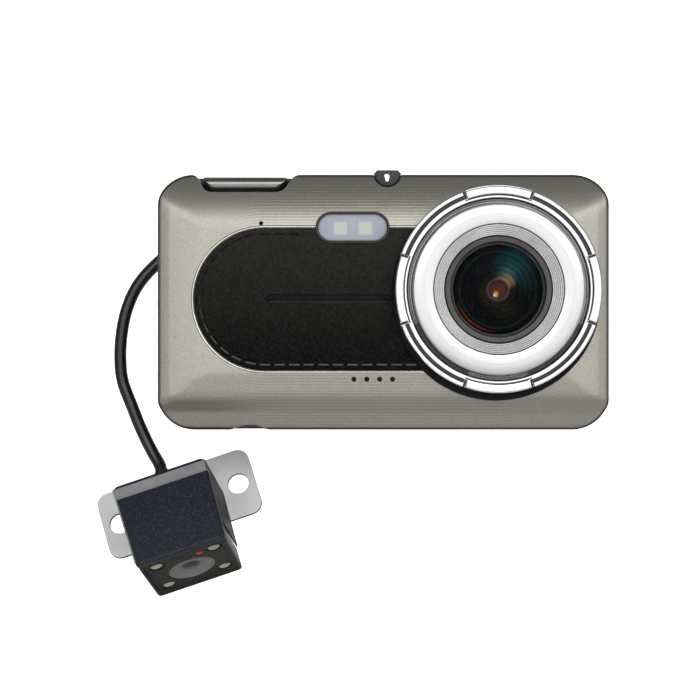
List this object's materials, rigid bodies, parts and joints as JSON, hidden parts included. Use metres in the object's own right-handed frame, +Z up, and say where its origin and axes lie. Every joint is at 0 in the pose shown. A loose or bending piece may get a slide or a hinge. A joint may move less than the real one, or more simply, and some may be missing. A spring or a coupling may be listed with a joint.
{
  "type": "dash camera",
  "caption": "Dash camera with a large ringed lens, leather inlay, lamp, rear screen and side buttons, with a small wired rear camera on its tilting bracket.",
  "frame": {"origin": "centre of the top of the windscreen bracket socket, on the parting line between front shell and rear housing", "axes": "-Y out of the main lens, +X to the right seen from the front, +Z up"},
  "size_m": [0.1238, 0.0515, 0.1022],
  "materials": {
    "shell_champagne": "satin metallic paint with fine moulded lines",
    "housing_black": "fine matte texture",
    "leather_black": "grained, semi-matte",
    "trim_silver": "satin plated",
    "thread_grey": "twisted thread",
    "diffuser_clear": "frosted",
    "led_cream": "phosphor under clear resin",
    "board_green": "solder mask",
    "ring_chrome": "bright plated",
    "ring_dark": "gloss",
    "ring_silver": "spun satin",
    "ring_grey": "anodised satin",
    "lens_glass": "coated, polished",
    "plastic_black": "matte",
    "chip_dark": "matte",
    "gloss_black": "gloss",
    "connector_steel": "plain sheet",
    "button_grey": "satin",
    "button_dark": "satin",
    "screen_glass": "gloss",
    "battery_foil": "wrapped pouch",
    "screw_steel": "zinc plated",
    "lead_rubber": "smooth satin",
    "tie_black": "woven hook and loop",
    "smoked_plastic": "smoked clear",
    "hood_powder": "powder coat",
    "sensor_red": "clear red",
    "bracket_grey": "smooth light grey coat"
  },
  "bodies": {
    "root": {"front_shell": "shell_champagne", "rear_housing": "housing_black", "leather_inlay": "leather_black", "inlay_trim": "trim_silver", "inlay_stitching": "thread_grey", "lamp_bezel": "trim_silver", "lamp_window": "diffuser_clear", "lamp_leds": "led_cream", "lamp_board": "board_green", "lens_base_ring": "ring_chrome", "lens_seal_ring": "ring_dark", "lens_face_ring": "ring_silver", "lens_step_ring": "ring_silver", "lens_trim_ring": "ring_grey", "lens_front_glass": "lens_glass", "lens_inner_element": "lens_glass", "lens_baffle": "plastic_black", "lens_barrel": "plastic_black", "lens_holder": "plastic_black", "image_sensor": "chip_dark", "sensor_board": "board_green", "bracket_socket": "gloss_black", "port_bay": "gloss_black", "usb_socket": "connector_steel", "av_socket": "plastic_black", "button_switches": "connector_steel", "key_board": "board_green", "display_glass": "screen_glass", "display_panel": "chip_dark", "display_backlight": "diffuser_clear", "main_board": "board_green", "processor": "chip_dark", "battery": "battery_foil", "speaker": "chip_dark", "microphone": "connector_steel", "card_socket": "connector_steel", "housing_screws": "screw_steel", "board_screws": "screw_steel", "av_plug": "lead_rubber", "lead_upper": "lead_rubber", "lead_coil": "lead_rubber", "lead_lower": "lead_rubber", "coil_ties": "tie_black", "rear_case": "smoked_plastic", "rear_hood": "hood_powder", "rear_front_window": "smoked_plastic", "rear_lens_ring": "ring_grey", "rear_lens_glass": "lens_glass", "rear_leds": "led_cream", "rear_light_sensor": "sensor_red", "rear_sensor_board": "board_green", "rear_gland": "lead_rubber", "rear_pivot_pins": "screw_steel"},
    "power_button_body": {"power_button": "button_grey"},
    "menu_button_body": {"menu_button": "button_dark"},
    "up_button_body": {"up_button": "button_dark"},
    "ok_button_body": {"ok_button": "button_dark"},
    "down_button_body": {"down_button": "button_dark"},
    "card_body": {"memory_card": "plastic_black"},
    "rear_bracket_body": {"rear_bracket": "bracket_grey"}
  },
  "joints": [
    {"name": "power_press", "type": "slide", "parent": "root", "child": "power_button_body", "axis": [1, 0, 0], "range_m": [0, 0.0003], "stiffness_N_per_m": 4000},
    {"name": "menu_press", "type": "slide", "parent": "root", "child": "menu_button_body", "axis": [1, 0, 0], "range_m": [0, 0.0003], "stiffness_N_per_m": 4000},
    {"name": "up_press", "type": "slide", "parent": "root", "child": "up_button_body", "axis": [1, 0, 0], "range_m": [0, 0.0003], "stiffness_N_per_m": 4000},
    {"name": "ok_press", "type": "slide", "parent": "root", "child": "ok_button_body", "axis": [1, 0, 0], "range_m": [0, 0.0003], "stiffness_N_per_m": 4000},
    {"name": "down_press", "type": "slide", "parent": "root", "child": "down_button_body", "axis": [1, 0, 0], "range_m": [0, 0.0003], "stiffness_N_per_m": 4000},
    {"name": "card_slide", "type": "slide", "parent": "root", "child": "card_body", "axis": [0, 0, -1], "range_m": [0, 0.014]},
    {"name": "rear_tilt", "type": "hinge", "parent": "root", "child": "rear_bracket_body", "pos_m": [-0.04918, 0.01386, -0.08654], "axis": [0.9472, 0, 0.3206], "range_deg": [-15, 15]}
  ]
}
